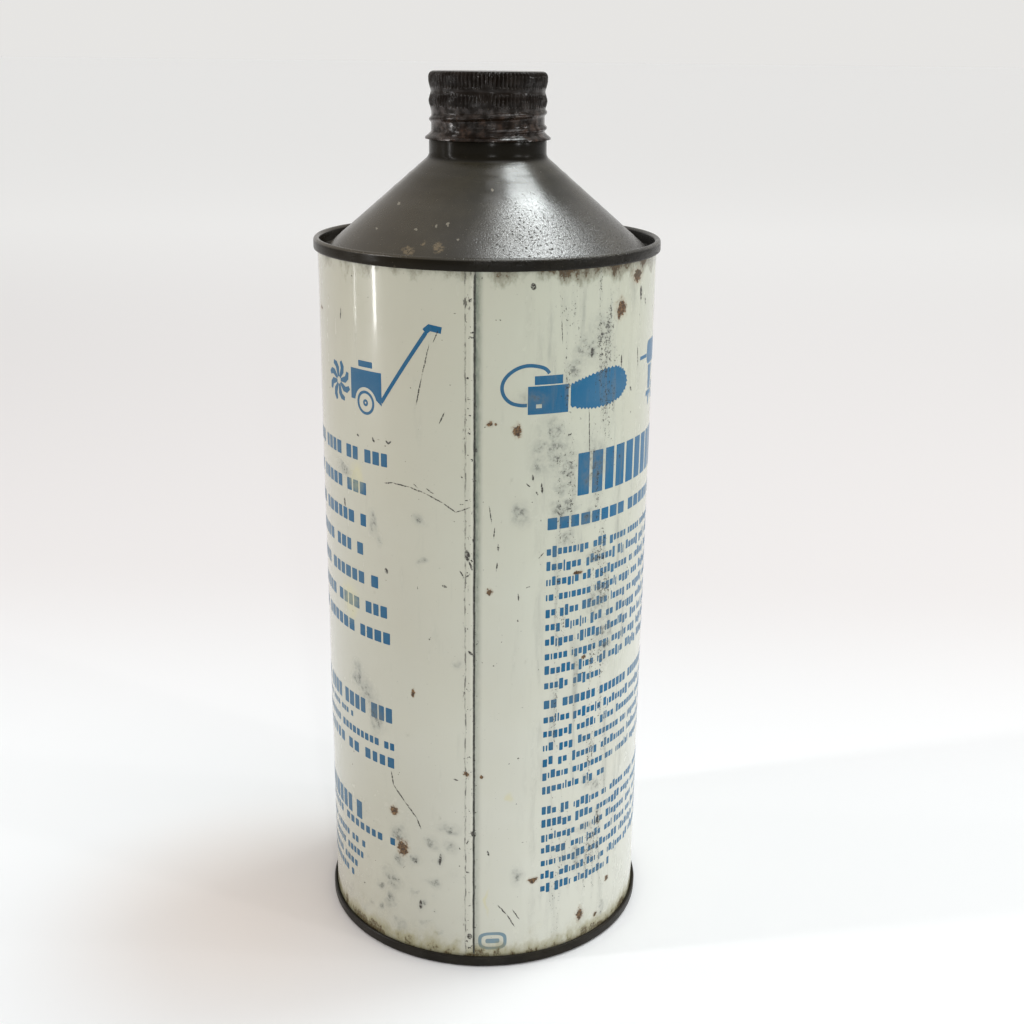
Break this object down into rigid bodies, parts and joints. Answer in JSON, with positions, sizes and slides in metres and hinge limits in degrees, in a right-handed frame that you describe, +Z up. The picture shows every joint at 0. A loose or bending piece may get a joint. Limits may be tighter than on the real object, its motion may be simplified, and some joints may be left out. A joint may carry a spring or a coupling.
{
  "type": "motor oil can",
  "caption": "Cone-top motor oil can: soldered tinplate cylinder with double-seamed ends, threaded neck and a screw cap with a sealing liner.",
  "frame": {"origin": "centre of the base, on the surface the can stands on", "axes": "+Z up along the can's axis; the side seam of the body faces -Y"},
  "size_m": [0.0874, 0.0874, 0.2252],
  "materials": {
    "litho_tinplate": "aged off-white lithographed enamel with blue print, scratched and rust-spotted",
    "dark_tinplate": "browned tinplate, oily gloss with fine pitting",
    "cap_tinplate": "dark brown oxidised tinplate with an oily gloss",
    "solder": "dull grey solder",
    "sealing_compound": "matte",
    "pulpboard": "matte grey-brown board",
    "foil": "satin foil"
  },
  "bodies": {
    "can": {"can_body": "litho_tinplate", "side_seam_solder": "solder", "cone_top": "dark_tinplate", "bottom_end": "dark_tinplate", "top_seam_compound": "sealing_compound", "bottom_seam_compound": "sealing_compound"},
    "cap_liner": {"cap_liner_board": "pulpboard", "cap_liner_facing": "foil"},
    "cap": {"screw_cap": "cap_tinplate"}
  },
  "joints": [
    {"name": "cap_rise", "type": "slide", "parent": "can", "child": "cap_liner", "axis": [0, 0, 1], "range_m": [0, 0.0216]},
    {"name": "cap_turn", "type": "hinge", "parent": "cap_liner", "child": "cap", "pos_m": [0, 0, 0.2172], "axis": [0, 0, 1], "range_deg": [0, 2160]}
  ],
  "couplings": [
    {"joint": "cap_turn", "follows": "cap_rise", "rad_per_m": 1745.3}
  ]
}
